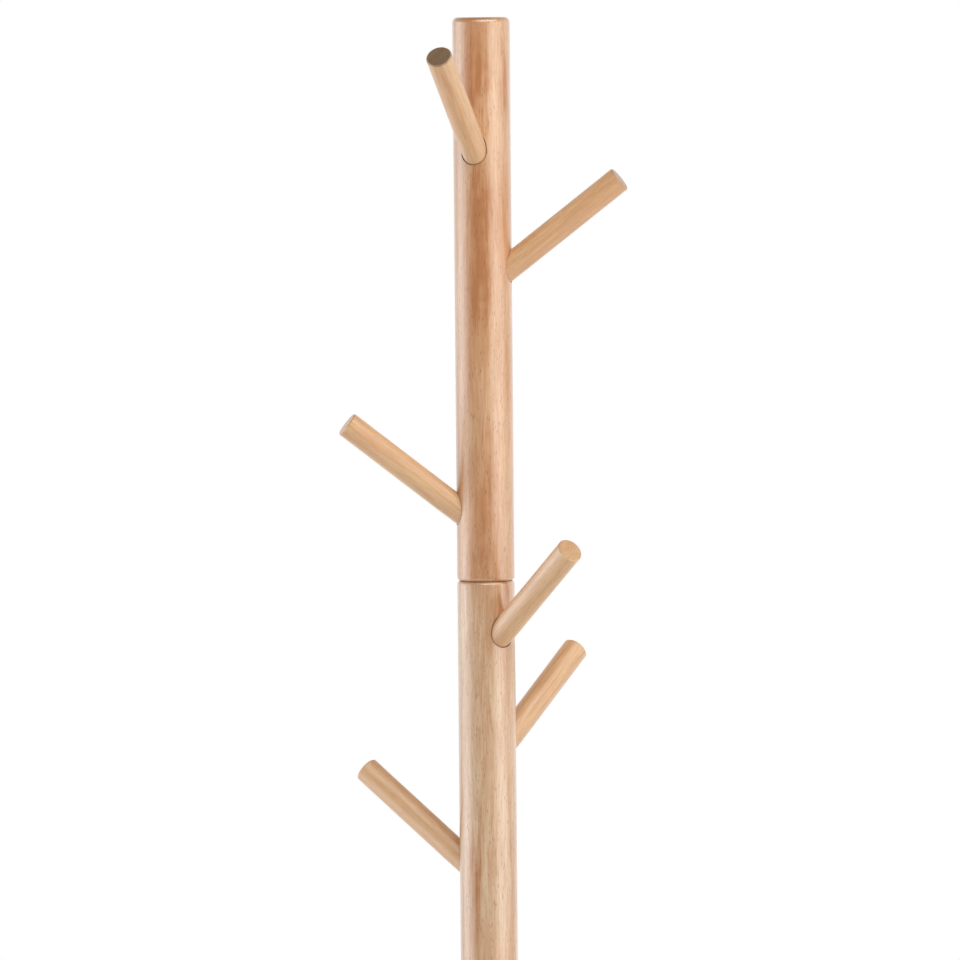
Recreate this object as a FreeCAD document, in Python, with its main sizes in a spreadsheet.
import FreeCAD, Part

import os
import re

import Sketcher

# Standing coat rack of turned hardwood: four pole sections screwed end to end on a four-legged
# hub, with seven round pegs screwed into slanted sockets bored in the two upper sections.
#
# Frame: millimetres, +Z up, origin on the floor under the axis of the pole, -Y to the front.
# An azimuth is measured from the front (-Y) towards +X.
#
# A peg or a leg is drawn along its own axis: its local origin is where that axis meets the axis
# of the pole, and its local +Z points outwards, to the tip of the peg or the foot of the leg.

DIMENSIONS = (
    # the pole
    ("rack_height", 1750, "floor to the top of the pole"),
    ("pole_diameter", 40, "turned pole"),
    ("section_length", 392, "one pole section"),
    ("joint_round", 2.5, "rounded rim where two sections meet"),
    ("top_round", 3.8, "rounded rim at the top of the pole"),
    # the studs that join the sections
    ("stud_diameter", 10, "M10 hanger bolt"),
    ("stud_screwed_in", 24, "machine thread, down into the insert below"),
    ("stud_wood_end", 20, "wood thread, up into the section that it belongs to"),
    ("stud_tip", 2, "cone at each end of a stud"),
    ("section_insert_diameter", 14, "threaded insert in the upper end of a section"),
    ("section_insert_length", 25, "that insert"),
    # the pegs
    ("peg_diameter", 18, "free part of a peg"),
    ("peg_root_diameter", 17.4, "seated end of a peg, slightly thinner"),
    ("peg_taper_end", 34, "axis of the pole to the end of the root taper"),
    ("topmost_peg_taper_end", 38, "the same for the steeper highest peg, clear of the pole"),
    ("peg_reach", 122.8, "axis of the pole to the tip"),
    ("peg_tip_bevel", 0.8, "bevelled rim of the tip"),
    ("peg_slope", 38, "degrees above the horizontal"),
    ("topmost_peg_slope", 41.5, "the same for the highest peg, which stands steeper"),
    ("peg_seat", 12, "axis of the pole to the flat floor of the socket"),
    ("socket_diameter", 18.8, "slanted socket, loose round the peg"),
    ("upper_drop_first", 107.4, "top of the upper section down to the axis of its first peg"),
    ("upper_drop_second", 188.2, "the same for its second peg"),
    ("upper_drop_third", 272.6, "the same for its third peg"),
    ("upper_drop_fourth", 356.9, "the same for its fourth peg"),
    ("lower_drop_first", 49.8, "top of the second section down to the axis of its first peg"),
    ("lower_drop_second", 129.8, "the same for its second peg"),
    ("lower_drop_third", 211.1, "the same for its third peg"),
    ("upper_azimuth", -18.5, "first peg of the upper section, degrees from the front"),
    ("upper_azimuth_step", 98.8, "degrees from one peg to the next one down"),
    ("lower_azimuth", 37, "first peg of the second section, degrees from the front"),
    ("lower_azimuth_step", 102.5, "degrees from one peg to the next one down"),
    # the hanger bolts of the pegs, measured along the peg from the axis of the pole
    ("bolt_diameter", 6, "M6 hanger bolt"),
    ("bolt_start", 1, "inner end of the machine thread"),
    ("bolt_end", 34, "outer end of the wood thread, inside the peg"),
    ("bolt_tip", 1.2, "cone at each end of a bolt"),
    ("peg_insert_diameter", 10, "threaded insert under a peg"),
    # the hub
    ("hub_diameter", 92, "straight side of the turned hub"),
    ("hub_floor", 104, "height of the flat underside"),
    ("hub_neck_diameter", 52, "flat top that the pole stands on"),
    ("hub_shoulder", 160, "height where the straight side ends"),
    ("hub_rim_round", 6, "rounded lower rim"),
    ("hub_shoulder_round", 12, "rounded shoulder"),
    ("hub_neck_round", 3, "rounded upper rim"),
    # the legs, measured along the leg from the axis of the pole
    ("leg_first_azimuth", 45, "degrees from the front"),
    ("leg_azimuth_step", 90, "degrees from one leg to the next"),
    ("leg_slope", 30, "degrees below the horizontal"),
    ("leg_height", 156, "height where the axis of a leg meets the axis of the pole"),
    ("leg_diameter", 26, "leg at the hub"),
    ("leg_foot_diameter", 20, "leg at the foot"),
    ("leg_seat", 27, "inner end of the leg"),
    ("leg_taper_start", 74, "where the leg starts to taper"),
    ("leg_socket_gap", 0.2, "all round a leg in its socket"),
    # the screws that lock the legs in the hub
    ("lock_screw_place", 38, "along the leg from the axis of the pole"),
    ("lock_screw_diameter", 5, "wood screw"),
    ("lock_screw_head", 9.6, "countersunk head"),
    ("lock_screw_length", 40, "whole screw"),
    ("lock_screw_key", 4, "hexagon recess in its head, across the corners"),
    ("lock_screw_key_depth", 2, "that recess"),
    # the feet
    ("pad_diameter", 18, "rubber foot"),
    ("pad_thickness", 5, "rubber foot"),
    ("pad_round", 1, "rounded lower rim"),
    ("foot_screw_diameter", 3.6, "wood screw"),
    ("foot_screw_head", 7.2, "countersunk head"),
    ("foot_screw_length", 12, "whole screw"),
    ("foot_screw_key", 2.6, "hexagon recess in its head, across the corners"),
    ("foot_screw_key_depth", 1.2, "that recess"),
    ("foot_screw_recess", 1.2, "floor to the head of the screw"),
    # shared
    ("fit_gap", 0.05, "all round a bolt, stud, insert or screw in its hole"),
    ("insert_key_depth", 2.5, "hexagon mouth of an insert"),
    ("peg_insert_key_width", 7.6, "hexagon mouth of a peg's insert, across the corners"),
    ("section_insert_key_width", 12, "hexagon mouth of a section's insert, across the corners"),
)
SECTIONS = ("top", "second", "third", "bottom")  # from the top of the pole downwards
PEG_ROWS = (  # the pegs of each section that has any, downwards
    ("upper", ("first", "second", "third", "fourth")),
    ("lower", ("first", "second", "third")),
)
LEGS = 4
NEAR = 1e-4  # lengths closer than this are the same
CUT_PAST = 40  # a cutter runs this far past the surface that it opens

doc = FreeCAD.newDocument("coat_rack")
dims = doc.addObject("Spreadsheet::Sheet", "dims")
for row, (alias, value, meaning) in enumerate(DIMENSIONS, start=1):
    dims.set(f"A{row}", alias)
    dims.set(f"B{row}", str(value))
    dims.set(f"C{row}", meaning)
    dims.setAlias(f"B{row}", alias)
doc.recompute()

parts = []


# --- helpers -------------------------------------------------------------------------------

def size(expression):
    """The value of an expression in the sheet's names, such as pole_diameter / 2."""
    return dims.evalExpression(expression)


def bind(item, property_name, expression):
    """Tie a property to the sheet. Every name in the sheet has an underscore in it."""
    item.setExpression(property_name, re.sub(r"[a-z]+(?:_[a-z]+)+", r"dims.\g<0>", expression))


def new_body(name):
    body = doc.addObject("PartDesign::Body", name)
    body.Label = name
    parts.append(body)
    return body


def turned(body, outline):
    """A solid turned about the local Z axis. The outline lists (radius, height) expressions."""
    sketch = body.newObject("Sketcher::SketchObject", f"{body.Name}_outline")
    plane = next(f for f in body.Origin.OriginFeatures if f.Role == "XZ_Plane")
    sketch.AttachmentSupport = [(plane, "")]
    sketch.MapMode = "FlatFace"
    points = [FreeCAD.Vector(size(radius), size(height), 0) for radius, height in outline]
    count = len(points)
    for index in range(count):
        sketch.addGeometry(Part.LineSegment(points[index], points[(index + 1) % count]), False)
    for index in range(count):
        sketch.addConstraint(Sketcher.Constraint("Coincident", index, 2, (index + 1) % count, 1))
    for index, (radius, height) in enumerate(outline):
        for direction, value, expression in (
            ("DistanceX", points[index].x, radius),
            ("DistanceY", points[index].y, height),
        ):
            number = sketch.addConstraint(Sketcher.Constraint(direction, -1, 1, index, 1, value))
            bind(sketch, f"Constraints[{number}]", expression)
    revolution = body.newObject("PartDesign::Revolution", f"{body.Name}_turned")
    revolution.Profile = sketch
    revolution.ReferenceAxis = (sketch, ["V_Axis"])
    revolution.Angle = 360
    doc.recompute()
    return revolution


def round_rim(body, radius, height, rounding):
    """Round off the circular edge that has this radius at this height."""
    base = body.Tip
    edges = [
        f"Edge{number}"
        for number, edge in enumerate(base.Shape.Edges, start=1)
        if isinstance(edge.Curve, Part.Circle)
        and abs(edge.Curve.Radius - size(radius)) < NEAR
        and abs(edge.Curve.Center.z - size(height)) < NEAR
    ]
    fillet = body.newObject("PartDesign::Fillet", f"{body.Name}_round")
    fillet.Base = (base, edges)
    bind(fillet, "Radius", rounding)
    doc.recompute()


def bore(body, diameter, placement, length):
    """Drill a round hole from the placement's origin along its +Z."""
    hole = body.newObject("PartDesign::SubtractiveCylinder", f"{body.Name}_bore")
    bind(hole, "Radius", f"({diameter}) / 2")
    bind(hole, "Height", length)
    hole.Placement = placement
    doc.recompute()


def countersink(body, small_diameter, large_diameter, placement):
    """A 90 degree seat for a screw head, its wide end at the placement's origin."""
    seat = body.newObject("PartDesign::SubtractiveCone", f"{body.Name}_countersink")
    bind(seat, "Radius1", f"({large_diameter}) / 2")
    bind(seat, "Radius2", f"({small_diameter}) / 2")
    bind(seat, "Height", f"({large_diameter} - ({small_diameter})) / 2")
    seat.Placement = placement
    doc.recompute()


def key_recess(body, width, start, depth):
    """A hexagon recess for a key, cut along local +Z from this height."""
    recess = body.newObject("PartDesign::SubtractivePrism", f"{body.Name}_recess")
    recess.Polygon = 6
    bind(recess, "Circumradius", f"{width} / 2")
    bind(recess, "Height", depth)
    recess.Placement = along(start)
    doc.recompute()


def along(distance):
    """A placement this far up the Z axis, with no turn."""
    return FreeCAD.Placement(FreeCAD.Vector(0, 0, size(distance)), FreeCAD.Rotation())


def tilt(slope):
    """Turns local +Z from straight up to a slope in degrees above the horizontal, towards -Y."""
    return FreeCAD.Rotation(FreeCAD.Vector(1, 0, 0), 90 - slope)


def slanted(height, azimuth, slope):
    """Local origin on the axis of the pole at this height, local +Z outwards at this slope."""
    turn = FreeCAD.Rotation(FreeCAD.Vector(0, 0, 1), azimuth)
    return FreeCAD.Placement(FreeCAD.Vector(0, 0, height), turn.multiply(tilt(slope)))


def section_bottom(section):
    """Expression for the height of the lower end of a pole section."""
    return f"rack_height - {SECTIONS.index(section) + 1} * section_length"


def peg_placements(rank):
    """Placements of the pegs of the upper section (rank 0) or the second section (rank 1)."""
    name, places = PEG_ROWS[rank]
    return [
        slanted(
            size(f"rack_height - {rank} * section_length - {name}_drop_{place}"),
            size(f"{name}_azimuth + {number} * {name}_azimuth_step"),
            size("topmost_peg_slope" if rank == number == 0 else "peg_slope"),
        )
        for number, place in enumerate(places)
    ]


def leg_placement(number):
    azimuth = size("leg_first_azimuth") + number * size("leg_azimuth_step")
    return slanted(size("leg_height"), azimuth, -size("leg_slope"))


# --- the pole ------------------------------------------------------------------------------

def pole_section(name, pegs):
    """A section, drawn from its lower end: a pilot hole for its stud, and peg sockets if any."""
    body = new_body(f"pole_{name}")
    is_top = name == SECTIONS[0]
    upper_end = [("pole_diameter / 2", "section_length")]
    if is_top:
        upper_end += [("0", "section_length")]
    else:
        bore_radius = "section_insert_diameter / 2 + fit_gap"
        upper_end += [
            (bore_radius, "section_length"),
            (bore_radius, "section_length - section_insert_length"),
            ("0", "section_length - section_insert_length"),
        ]
    pilot_radius = "stud_diameter / 2 + fit_gap"
    turned(
        body,
        [("0", "stud_wood_end"), (pilot_radius, "stud_wood_end"), (pilot_radius, "0"),
         ("pole_diameter / 2", "0")] + upper_end,
    )
    round_rim(body, "pole_diameter / 2", "0", "joint_round")
    upper_round = "top_round" if is_top else "joint_round"
    round_rim(body, "pole_diameter / 2", "section_length", upper_round)
    body.Placement = along(section_bottom(name))
    for peg in pegs:
        local = body.Placement.inverse().multiply(peg)
        bore(body, "socket_diameter", local.multiply(along("peg_seat")), str(CUT_PAST))
        bore(body, "peg_insert_diameter + 2 * fit_gap", local, "peg_seat")


def section_insert(name, top_height):
    """Threaded insert flush with an upper end, with a hexagon mouth for the key that sets it."""
    body = new_body(name)
    outside = "section_insert_diameter / 2"
    inside = "stud_diameter / 2 + fit_gap"
    turned(
        body,
        [(inside, "0"), (outside, "0"), (outside, "section_insert_length"),
         (inside, "section_insert_length")],
    )
    key_recess(body, "section_insert_key_width", "section_insert_length - insert_key_depth",
               "insert_key_depth")
    body.Placement = along(f"{top_height} - section_insert_length")


def threaded_rod(name, diameter, start, end, tip):
    """A hanger bolt or stud: a plain rod over its threads, with a cone at each end."""
    body = new_body(name)
    radius = f"{diameter} / 2"
    point = f"{diameter} / 2 * 0.6"
    turned(
        body,
        [("0", start), (point, start), (radius, f"{start} + {tip}"), (radius, f"{end} - {tip}"),
         (point, end), ("0", end)],
    )
    return body


for rank, section in enumerate(SECTIONS):
    pegs = peg_placements(rank) if rank < len(PEG_ROWS) else []
    pole_section(section, pegs)
    stud = threaded_rod(
        f"stud_{section}", "stud_diameter", "0 - stud_screwed_in", "stud_wood_end", "stud_tip"
    )
    stud.Placement = along(section_bottom(section))
    if section != SECTIONS[0]:
        section_insert(f"pole_{section}_insert", f"{section_bottom(section)} + section_length")


# --- the pegs ------------------------------------------------------------------------------

def peg(name, placement, taper_end):
    """A dowel with a slightly tapered root, a bevelled tip and a pilot hole for its bolt."""
    body = new_body(name)
    pilot_radius = "bolt_diameter / 2 + fit_gap"
    free_radius = "peg_diameter / 2"
    turned(
        body,
        [(pilot_radius, "peg_seat"), ("peg_root_diameter / 2", "peg_seat"),
         (free_radius, taper_end), (free_radius, "peg_reach - peg_tip_bevel"),
         (f"{free_radius} - peg_tip_bevel", "peg_reach"), ("0", "peg_reach"),
         ("0", "bolt_end"), (pilot_radius, "bolt_end")],
    )
    body.Placement = placement


def peg_insert(name, placement):
    """Threaded insert under the floor of a peg socket, with a hexagon mouth as well."""
    body = new_body(name)
    outside = "peg_insert_diameter / 2"
    inside = "bolt_diameter / 2 + fit_gap"
    turned(body, [(inside, "0"), (outside, "0"), (outside, "peg_seat"), (inside, "peg_seat")])
    key_recess(body, "peg_insert_key_width", "peg_seat - insert_key_depth", "insert_key_depth")
    body.Placement = placement


for number, placement in enumerate(peg_placements(0) + peg_placements(1), start=1):
    peg(f"peg_{number}", placement, "topmost_peg_taper_end" if number == 1 else "peg_taper_end")
    bolt = threaded_rod(f"peg_{number}_bolt", "bolt_diameter", "bolt_start", "bolt_end", "bolt_tip")
    bolt.Placement = placement
    peg_insert(f"peg_{number}_insert", placement)


# --- the hub -------------------------------------------------------------------------------

def lock_screw_spot(number):
    """Where a leg's lock screw meets the underside of the hub, with +Z upwards."""
    spot = leg_placement(number).multVec(FreeCAD.Vector(0, 0, size("lock_screw_place")))
    spot.z = size("hub_floor")
    return FreeCAD.Placement(spot, FreeCAD.Rotation())


def hub():
    """Turned hub with a slanted socket for each leg, drawn in the rack's own frame."""
    body = new_body("hub")
    hub_top = section_bottom("bottom")
    bore_radius = "section_insert_diameter / 2 + fit_gap"
    turned(
        body,
        [("0", "hub_floor"), ("hub_diameter / 2", "hub_floor"),
         ("hub_diameter / 2", "hub_shoulder"), ("hub_neck_diameter / 2", hub_top),
         (bore_radius, hub_top), (bore_radius, f"{hub_top} - section_insert_length"),
         ("0", f"{hub_top} - section_insert_length")],
    )
    round_rim(body, "hub_diameter / 2", "hub_floor", "hub_rim_round")
    round_rim(body, "hub_diameter / 2", "hub_shoulder", "hub_shoulder_round")
    round_rim(body, "hub_neck_diameter / 2", hub_top, "hub_neck_round")
    for number in range(LEGS):
        seat = leg_placement(number).multiply(along("leg_seat"))
        bore(body, "leg_diameter + 2 * leg_socket_gap", seat, str(CUT_PAST))
        spot = lock_screw_spot(number)
        bore(body, "lock_screw_diameter + 2 * fit_gap", spot, "lock_screw_length")
        countersink(
            body, "lock_screw_diameter + 2 * fit_gap", "lock_screw_head + 2 * fit_gap", spot
        )


hub()
section_insert("hub_insert", section_bottom("bottom"))


# --- the legs and feet ---------------------------------------------------------------------

def foot_distance():
    """How far along a leg its axis reaches the height of the top of the rubber foot."""
    return size("(leg_height - pad_thickness) / sin(leg_slope * 1deg)")


def foot_spot(number, height):
    """A point at this height in the middle of a foot, with +Z upwards."""
    spot = leg_placement(number).multVec(FreeCAD.Vector(0, 0, foot_distance()))
    spot.z = height
    return FreeCAD.Placement(spot, FreeCAD.Rotation())


def leg(number):
    """A tapered leg, cut level at the foot, with holes for its lock screw and its foot screw."""
    body = new_body(f"leg_{number + 1}")
    overlong = f"{foot_distance()} + leg_diameter"
    turned(
        body,
        [("0", "leg_seat"), ("leg_diameter / 2", "leg_seat"),
         ("leg_diameter / 2", "leg_taper_start"), ("leg_foot_diameter / 2", overlong),
         ("0", overlong)],
    )
    body.Placement = leg_placement(number)
    to_local = body.Placement.inverse()
    floor_cut = body.newObject("PartDesign::SubtractiveBox", f"{body.Name}_floor_cut")
    floor_cut.Length = floor_cut.Width = floor_cut.Height = 2 * CUT_PAST
    corner = foot_spot(number, size("pad_thickness") - 2 * CUT_PAST)
    corner.Base += FreeCAD.Vector(-CUT_PAST, -CUT_PAST, 0)
    floor_cut.Placement = to_local.multiply(corner)
    doc.recompute()
    bore(body, "lock_screw_diameter + 2 * fit_gap", to_local.multiply(lock_screw_spot(number)),
         "lock_screw_length")
    bore(body, "foot_screw_diameter + 2 * fit_gap",
         to_local.multiply(foot_spot(number, size("foot_screw_recess"))), "foot_screw_length")


def foot_pad(number):
    """A rubber disc under the level cut of a leg, holed and countersunk for its screw."""
    body = new_body(f"foot_pad_{number + 1}")
    hole = "foot_screw_diameter / 2 + fit_gap"
    head = "foot_screw_head / 2 + fit_gap"
    turned(
        body,
        [(head, "0"), ("pad_diameter / 2", "0"), ("pad_diameter / 2", "pad_thickness"),
         (hole, "pad_thickness"), (hole, f"foot_screw_recess + {head} - ({hole})"),
         (head, "foot_screw_recess")],
    )
    round_rim(body, "pad_diameter / 2", "0", "pad_round")
    body.Placement = foot_spot(number, 0)


def countersunk_screw(name, kind, placement):
    """A wood screw that points up, its flat head at the placement's origin."""
    body = new_body(name)
    head = f"{kind}_screw_head / 2"
    shank = f"{kind}_screw_diameter / 2"
    turned(
        body,
        [("0", "0"), (head, "0"), (shank, f"{head} - {shank}"),
         (shank, f"{kind}_screw_length - {kind}_screw_diameter"), ("0", f"{kind}_screw_length")],
    )
    key_recess(body, f"{kind}_screw_key", "0", f"{kind}_screw_key_depth")
    body.Placement = placement


for number in range(LEGS):
    leg(number)
    countersunk_screw(f"leg_{number + 1}_screw", "lock", lock_screw_spot(number))
    foot_pad(number)
    countersunk_screw(f"foot_screw_{number + 1}", "foot",
                      foot_spot(number, size("foot_screw_recess")))


# --- checks and files ----------------------------------------------------------------------

doc.recompute()
for item in doc.Objects:
    if "Invalid" in item.State or "Error" in item.State:
        raise RuntimeError(f"{item.Name} did not compute: {item.State}")
for body in parts:
    if body.Shape.isNull() or not body.Shape.isValid() or len(body.Shape.Solids) != 1:
        raise RuntimeError(f"{body.Label} is not one valid solid")

os.makedirs("parts", exist_ok=True)
for body in parts:
    body.Shape.exportStep(f"parts/{body.Label}.step")
print(f"{len(parts)} parts")
